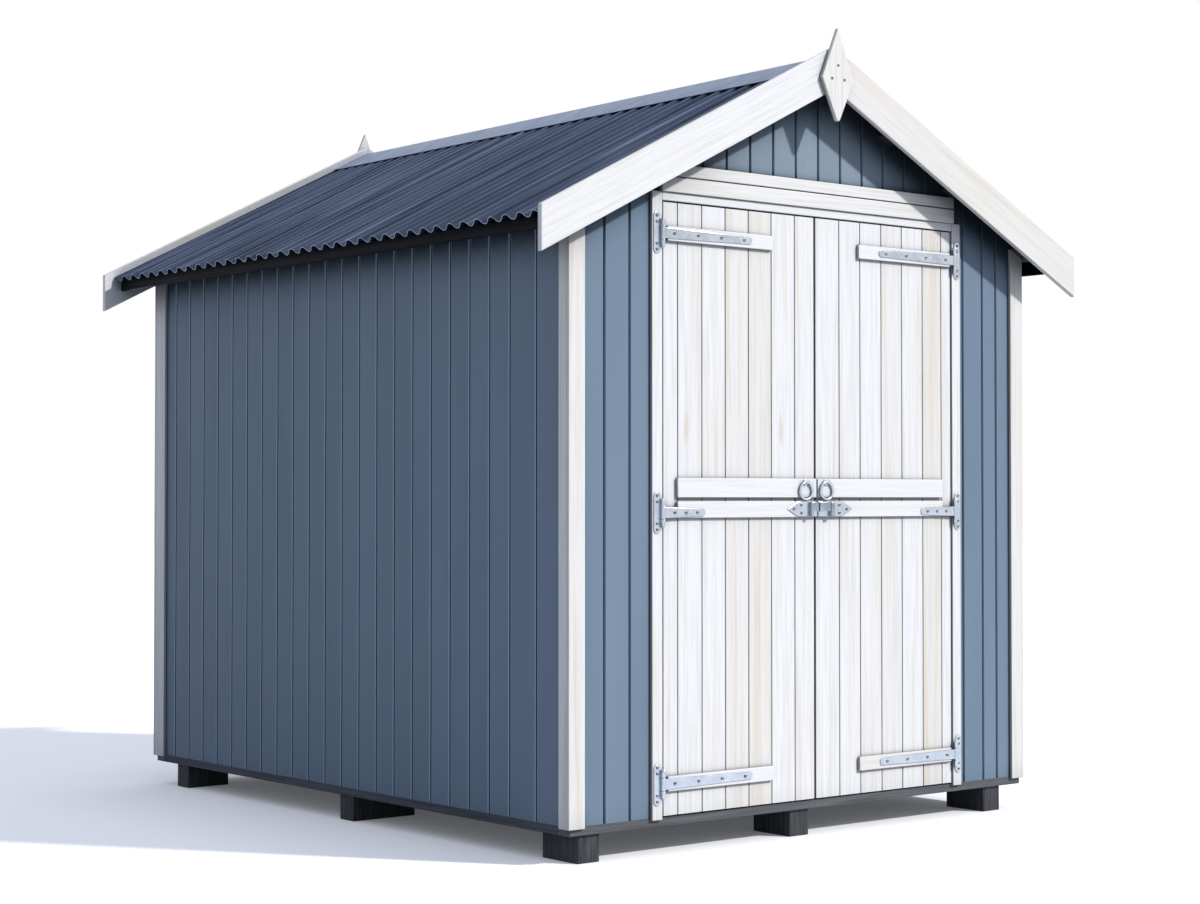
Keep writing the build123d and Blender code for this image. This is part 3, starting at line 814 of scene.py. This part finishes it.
# %% Bargeboards and finials
BARGE_TONE = {-1: 0.45, 1: 0.85}
for end_name, end in ENDS:
    for side_name, side in SIDES:
        node = f"{end_name}_{side_name}_bargeboard"
        low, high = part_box(node)
        reach = max(abs(low.x), abs(high.x))
        drop = reach * TAN
        plumb = (high.z - low.z) - drop
        board = slab((0, low.y, high.z - plumb), (side * reach, high.y, high.z))
        shift(board, lambda at: abs(at.x) > reach / 2, (0, 0, -drop))
        fit(f"{end_name}_{side_name}_barge_board", [tone(ease_edges(board, 0.003), BARGE_TONE[side])],
            whitewash_slope[side], "shed", "white_timber", node)

FINIAL_WAIST = 0.177
FINIAL_TIP = 0.007
NAIL_ROOM = 0.002   # the plate lies back by this, so that its nails stay inside the box
NAIL_SUNK = 0.0012
NAIL = (0.0055, 0.002)   # radius and thickness
NAIL_PLACES = ((0, 0.130), (-0.030, 0.178), (0.030, 0.178))   # across, and down from the tip
FACING = (math.radians(90), 0, 0)


def kite(low, high):
    """Saws a slab down to the finial's five sides."""
    plate = slab(low, high)
    half = high.x
    waist = high.z - FINIAL_WAIST
    for side in (-1, 1):
        up = Vector((side * FINIAL_WAIST, 0, half))
        saw(plate, (0, 0, high.z), up)
        down = Vector((side * (waist - low.z), 0, FINIAL_TIP - half))
        saw(plate, (side * half, 0, waist), down)
    return tone(ease_edges(plate, 0.003), 0.7)


def nail_head(place, radius, thickness, end=-1):
    """A round head with a dished rim, flat on a face that looks along Y."""
    deselect()
    bpy.ops.mesh.primitive_cylinder_add(vertices=14, radius=radius, depth=thickness, rotation=FACING,
                                        location=(place[0], place[1] + end * thickness / 2, place[2]))
    head = set_down(bpy.context.object)
    front = place[1] + end * thickness
    edit(head)
    pick(head, "FACE", lambda at: abs(at.y - front) < NEAR)
    bpy.ops.mesh.inset(thickness=radius * 0.3)
    bpy.ops.transform.translate(value=(0, end * thickness * 0.4, 0))
    bpy.ops.mesh.inset(thickness=radius * 0.35)
    bpy.ops.transform.translate(value=(0, -end * thickness * 0.5, 0))
    leave()
    return head


for end_name, end in ENDS:
    low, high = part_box(f"{end_name}_finial")
    face = low if end < 0 else high
    face.y -= end * NAIL_ROOM
    fit(f"{end_name}_finial_plate", [kite(low, high)], whitewash_leaf, "shed", "white_timber",
        f"{end_name}_finial")
    nails = [nail_head((x, face.y - end * NAIL_SUNK, high.z - down), *NAIL, end) for x, down in NAIL_PLACES]
    fit(f"{end_name}_finial_nails", nails, screw_zinc, "shed", "zinc")

# %% [markdown]
# ## The roof
# A corrugated sheet is one wave repeated, and a wave is an arc up and an arc down, as the rollers leave it.
# One wave is drawn as a flat strip of sixteen facets whose rows are lifted or lowered to the arcs, repeated
# with an Array, and given its thickness with Solidify. It is made flat and then tipped to the slope. Its
# cut ends are bare metal, so they are marked as arrises too. The capping is a strip folded over the crests.

# %% Corrugated sheets
FACETS = 16
WAVES = 38
WAVE_DEPTH = 0.020
SHEET = 0.002


def wave_rise(step, pitch):
    """Height over the wave's mid depth at one of its facets' edges."""
    radius = ((pitch / 4) ** 2 + (WAVE_DEPTH / 2) ** 2) / WAVE_DEPTH
    turns = 2 * step / FACETS
    across = (turns - round(turns)) * pitch / 2
    rise = WAVE_DEPTH / 2 - radius + math.sqrt(radius ** 2 - across ** 2)
    return rise if round(turns) % 2 == 0 else -rise


def corrugated_sheet(side, half_run, top, bottom):
    """A sheet from top to bottom along X, waves along Y, crests at z = 0."""
    pitch = 2 * half_run / WAVES
    deselect()
    bpy.ops.mesh.primitive_grid_add(x_subdivisions=1, y_subdivisions=FACETS, size=1)
    strip = bpy.context.object
    strip.scale = (bottom - top, pitch, 1)
    strip.location = (side * (top + bottom) / 2, -half_run + pitch / 2, -SHEET - WAVE_DEPTH / 2)
    set_down(strip)
    edit(strip)
    for step in range(FACETS + 1):
        row = -half_run + pitch * step / FACETS
        pick(strip, "VERT", lambda at: abs(at.y - row) < pitch / FACETS / 3)
        bpy.ops.transform.translate(value=(0, 0, wave_rise(step, pitch)))
    leave()
    modify(strip, "ARRAY", count=WAVES, use_relative_offset=False, use_constant_offset=True,
           constant_offset_displace=(0, pitch, 0), use_merge_vertices=True, merge_threshold=NEAR)
    modify(strip, "SOLIDIFY", thickness=SHEET, offset=1)
    arris = strip.data.attributes.new("arris", "FLOAT", "FACE")
    for face in strip.data.polygons:
        arris.data[face.index].value = float(abs(face.normal.x) > 0.9)
    strip.rotation_euler.y = side * ROOF_PITCH
    strip.location.z = RIDGE
    return set_down(strip)


sheet_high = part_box("roof_sheet_right")[1]
sheet_top = SHEET_SEAT * TAN
sheet_bottom = (sheet_high.x + NEAR) / COS
for name, side in SIDES:
    sheet = corrugated_sheet(side, sheet_high.y, sheet_top, sheet_bottom)
    fit(f"{name}_corrugated_sheet", [sheet], roof_coat, "shed", "roof_steel", f"roof_sheet_{name}")

# %% Ridge capping
CAP = 0.0022
CAP_SEAT = 0.0002
CAP_FOLD = 0.012
cap_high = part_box("ridge_cap")[1]
deselect()
bpy.ops.mesh.primitive_grid_add(x_subdivisions=2, y_subdivisions=1, size=1)
cap = bpy.context.object
cap.scale = (2 * cap_high.x, 2 * cap_high.y, 1)
cap.location.z = RIDGE + CAP_SEAT / COS
set_down(cap)
shift(cap, lambda at: abs(at.x) > cap_high.x / 2, (0, 0, -cap_high.x * TAN))
edit(cap)
pick(cap, "EDGE", lambda at, run: abs(at.x) < NEAR and abs(run.y) > 1)
bpy.ops.mesh.bevel(offset=CAP_FOLD, segments=4)
leave()
modify(cap, "SOLIDIFY", thickness=CAP, offset=1)
fit("ridge_capping", [cap], cap_coat, "shed", "cap_steel", "ridge_cap")

# %% Eave boards
SAW_ROOM = 0.02   # left over for the saw
for name, side in SIDES:
    low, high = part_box(f"eave_fascia_{name}")
    board = saw_to_roof(slab((low.x, low.y, low.z), (high.x, high.y, high.z + SAW_ROOM)), SHEET_SEAT)
    fit(f"{name}_eave_board", [tone(ease_edges(board, 0.002))], fascia_black, "shed", "fascia_paint",
        f"eave_fascia_{name}")

# %% [markdown]
# ## Bare timbers inside
# Posts, wall plates, purlins and the ridge beam are plain sawn lengths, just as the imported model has
# them, so they keep their own shapes. The posts and plates are bare timber with the grain along them. The
# purlins and the beam run out under the gables, so they are stained, darker than the deck.

# %% Bare timbers
for name in ("left_wall_studs", "right_wall_studs", "back_wall_studs", "door_studs"):
    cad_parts[name].material_slots[0].material = bare_up
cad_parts["wall_plates"].material_slots[0].material = bare_along
for name in ("roof_purlins", "ridge_beam"):
    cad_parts[name].material_slots[0].material = roof_stain
print("bare timbers dressed")

# %% [markdown]
# ## The door leaves
# Each leaf is seven boards on three ledges and two braces, with two rails across the front and a short
# batten under each long strap. The boards' joints are those of the photograph. The braces rise from the
# hinge side, as they must to carry the leaf, and are slabs whose upper end is pushed over.

# %% Leaf boards, rails and ledges
LEAF_EDGES = {
    "left": [-0.701, -0.636, -0.528, -0.422, -0.315, -0.208, -0.097, -0.003],
    "right": [0.003, 0.121, 0.226, 0.334, 0.441, 0.550, 0.650, 0.701],
}
LEAF_TONES = {
    "left": [0.10, 0.05, 0.38, 0.70, 0.82, 0.12, 0.48],
    "right": [0.02, 0.44, 0.22, 0.64, 0.07, 0.92, 0.09],
}
DOOR_BEVEL = 0.0012
DOOR_GAP = 0.003
MEETING = 0.003   # half the gap between the leaves
MID_RAILS = ((1.176, 1.242), (1.108, 1.164))   # bottom and top of each
MID_RAIL_END = 0.645
BATTENS = ((2.027, 2.077), (0.207, 0.257))
BATTEN_ENDS = (0.210, 0.688)
RAIL_EASE = 0.0025
LEDGE = 0.095
BRACE = 0.080
for name, side in SIDES:
    body = f"{name}_door"
    low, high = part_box(f"{name}_door_boards")
    run = boarding(LEAF_EDGES[name], high.y - low.y, DOOR_BEVEL, DOOR_GAP, high.z - low.z, LEAF_TONES[name])
    stand(run, 0, (0, low.y, low.z))
    fit(f"{name}_leaf_boards", [run], whitewash_leaf, body, "white_timber", f"{name}_door_boards")
    low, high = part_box(f"{name}_door_rails")
    spans = [(MEETING, MID_RAIL_END, *heights) for heights in MID_RAILS]
    spans += [(*BATTEN_ENDS, *heights) for heights in BATTENS]
    rails = [timber((side * inner, low.y, bottom), (side * outer, high.y, top), RAIL_EASE)
             for inner, outer, bottom, top in spans]
    fit(f"{name}_leaf_rails", rails, whitewash_along, body, "white_timber", f"{name}_door_rails")
    low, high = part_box(f"{name}_door_ledges")
    bottoms = (low.z, (low.z + high.z - LEDGE) / 2, high.z - LEDGE)
    ledges = [timber((low.x, low.y, bottom), (high.x, high.y, bottom + LEDGE), 0.003) for bottom in bottoms]
    fit(f"{name}_leaf_ledges", ledges, whitewash_along, body, "white_timber", f"{name}_door_ledges")
    near, far = sorted((abs(low.x), abs(high.x)))
    braces = []
    for foot, head in zip((bottoms[0] + LEDGE, bottoms[1] + LEDGE), bottoms[1:]):
        brace = slab((side * (far - BRACE), low.y, foot), (side * far, high.y, head))
        shift(brace, lambda at: at.z > (foot + head) / 2, (side * (near - far + BRACE), 0, 0))
        braces.append(tone(ease_edges(brace, 0.002)))
    fit(f"{name}_leaf_braces", braces, whitewash_up, body, "white_timber", f"{name}_door_braces")

# %% [markdown]
# ## Strap hinges
# A strap hinge is a long tapering strap on the door, a short plate on the jamb, and a pin through
# knuckles that are rolled from both. The strap is a slab whose tip is drawn in and rounded with a bevel.
# The knuckles are short rolls with eased rims, and they share one axis, which is the joint's own.

# %% Strap hinges
PIN_X, PIN_Y = 0.711, -1.392
HINGES = ((0.232, 0.400, 4), (1.126, 0.185, 3), (2.052, 0.400, 4))   # height, length, screws of a strap
STRAP_ROOT, STRAP_TIP, STRAP = 0.036, 0.024, 0.003
TIP_ROUND = STRAP_TIP * 0.46
PLATE_Y = -1.3825
PLATE_EDGES = (0.0045, 0.034)   # from the pin; it starts clear of the moving knuckle
PLATE_HALF, PLATE_ROUND = 0.069, 0.0145
KNUCKLE, PIN_HEAD = 0.0075, 0.0052
MOVING_ROLL = 0.022
FIXED_ROLLS = ((-0.0445, -0.0225), (0.0225, 0.0445))
PIN_HEADS = ((-0.049, -0.044), (0.044, 0.049))
PRESSED = 0.0007   # the eased edge of pressed steel
STRAP_SCREW = (0.0058, 0.0022)
PLATE_SCREW = (0.0052, 0.0022)
SCREW_SUNK = 0.0004
SCREW_ENDS = (0.050, 0.035)   # the first from the pin, the last from the tip
PLATE_SCREWS = (-0.056, -0.036, 0.036, 0.056)
PLATE_MIDDLE = 0.0205   # from the pin to the line of screws


def roll(x, low, high, radius, eased=0.0012):
    """A rolled knuckle, or the head of a pin, round the hinge's axis."""
    deselect()
    bpy.ops.mesh.primitive_cylinder_add(vertices=24, radius=radius, depth=high - low,
                                        location=(x, PIN_Y, (low + high) / 2))
    return ease_edges(set_down(bpy.context.object), eased)


def strap(side, z, length, face_y):
    tip = PIN_X - length
    piece = slab((side * tip, face_y - STRAP, z - STRAP_ROOT / 2),
                 (side * PIN_X, face_y, z + STRAP_ROOT / 2))
    edit(piece)
    pick(piece, "VERT", lambda at: abs(at.x) < tip + length / 2)
    bpy.ops.transform.resize(value=(1, 1, STRAP_TIP / STRAP_ROOT), center_override=(side * tip, face_y, z))
    pick(piece, "EDGE", lambda at, run: abs(run.y) > STRAP / 2 and abs(at.x) < tip + length / 2)
    bpy.ops.mesh.bevel(offset=TIP_ROUND, segments=6)
    leave()
    return ease_edges(piece, PRESSED)


def jamb_plate(side, z):
    """A plate with round ends."""
    inner, outer = PLATE_EDGES
    piece = slab((side * (PIN_X + inner), PLATE_Y - STRAP, z - PLATE_HALF),
                 (side * (PIN_X + outer), PLATE_Y, z + PLATE_HALF))
    edit(piece)
    pick(piece, "EDGE", lambda at, run: abs(run.y) > STRAP / 2)
    bpy.ops.mesh.bevel(offset=PLATE_ROUND, segments=6)
    leave()
    return ease_edges(piece, PRESSED)


for name, side in SIDES:
    x = side * PIN_X
    rail_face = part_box(f"{name}_door_rails")[0].y
    straps, screws = [], []
    for z, length, count in HINGES:
        straps.append(strap(side, z, length, rail_face))
        straps.append(roll(x, z - MOVING_ROLL, z + MOVING_ROLL, KNUCKLE))
        for step in range(count):
            along = SCREW_ENDS[0] + (length - sum(SCREW_ENDS)) * step / (count - 1)
            place = (side * (PIN_X - along), rail_face - STRAP + SCREW_SUNK, z)
            screws.append(nail_head(place, *STRAP_SCREW))
    fit(f"{name}_leaf_straps", straps, bright_zinc, f"{name}_door", "zinc", f"{name}_door_straps")
    fit(f"{name}_strap_screws", screws, screw_zinc, f"{name}_door", "zinc")
    plates, screws = [], []
    screw_x = side * (PIN_X + PLATE_MIDDLE)
    for z, *_ in HINGES:
        plates.append(jamb_plate(side, z))
        plates += [roll(x, z + low, z + high, KNUCKLE) for low, high in FIXED_ROLLS]
        plates += [roll(x, z + low, z + high, PIN_HEAD, 0.002) for low, high in PIN_HEADS]
        screws += [nail_head((screw_x, PLATE_Y - STRAP + SCREW_SUNK, z + up), *PLATE_SCREW)
                   for up in PLATE_SCREWS]
    fit(f"{name}_jamb_plates", plates, bright_zinc, "shed", "zinc", f"{name}_hinge_plates")
    fit(f"{name}_plate_screws", screws, screw_zinc, "shed", "zinc")

# %% [markdown]
# ## Latch and ring pulls
# The latch is a flat bar that slides in two keeps across the gap between the leaves, on pointed plates,
# with a ring pull above each. Each leaf carries its own half, so the halves part at the meeting line.
# A plate is a slab with its corners sawn to a point. A ring starts as a torus and is flattened a little.

# %% Latch and ring pulls
LATCH_Z, BAR_Z, PULL_Z, ROSE_Z = 1.136, 1.144, 1.200, 1.230
LATCH_HALF, LATCH_POINT = 0.025, 0.048
BAR_HALF, BAR_FRONT, KEEP_FRONT = 0.016, 0.012, 0.015
ROSE = (0.011, 0.003)
STUD, STUD_LENGTH, STUD_OUT = 0.005, 0.008, 0.007
RING, RING_WIRE, RING_OUT, RING_SQUASH = 0.030, 0.004, 0.0065, 0.8
LATCH_SCREWS = ((0.066, -0.014), (0.066, 0.014), (0.030, 0))   # back from the point, and up
# reach of the plate and of the bar, width of the keep, and place of the ring
LATCH = {"left": (0.145, 0.031, 0.010, 0.058), "right": (0.172, 0.056, 0.017, 0.042)}
for name, side in SIDES:
    body = f"{name}_door"
    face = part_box(f"{name}_door_rails")[0].y
    front = face - STRAP
    reach, bar, keep, pull = LATCH[name]
    plate = slab((side * MEETING, front, LATCH_Z - LATCH_HALF), (side * reach, face, LATCH_Z + LATCH_HALF))
    for up in (-1, 1):
        saw(plate, (side * reach, 0, LATCH_Z), (side * LATCH_HALF, 0, up * LATCH_POINT))
    metal = [ease_edges(plate, 0.0008)]
    sliding = [ease_edges(slab((side * MEETING, face - BAR_FRONT, BAR_Z - BAR_HALF),
                               (side * bar, front, BAR_Z + BAR_HALF)), 0.001),
               ease_edges(slab((side * bar, face - KEEP_FRONT, LATCH_Z - LATCH_HALF),
                               (side * (bar + keep), front, LATCH_Z + LATCH_HALF)), 0.0025)]
    fit(f"{name}_latch_bar", sliding, dull_zinc, body, "zinc")
    x = side * pull
    metal.append(nail_head((x, face, ROSE_Z), *ROSE))
    deselect()
    bpy.ops.mesh.primitive_cylinder_add(vertices=16, radius=STUD, depth=STUD_LENGTH, rotation=FACING,
                                        location=(x, face - STUD_OUT, ROSE_Z))
    metal.append(ease_edges(set_down(bpy.context.object), 0.0012))
    deselect()
    bpy.ops.mesh.primitive_torus_add(major_radius=RING, minor_radius=RING_WIRE, rotation=FACING,
                                     major_segments=40, minor_segments=20,
                                     location=(x, face - RING_OUT, PULL_Z))
    ring = bpy.context.object
    ring.scale = (1, 1, RING_SQUASH)
    metal.append(set_down(ring))
    fit(f"{name}_leaf_latch", metal, bright_zinc, body, "zinc", f"{name}_door_latch")
    screws = [nail_head((side * (reach - back), front + SCREW_SUNK, LATCH_Z + up), *PLATE_SCREW)
              for back, up in LATCH_SCREWS]
    fit(f"{name}_latch_screws", screws, screw_zinc, body, "zinc")
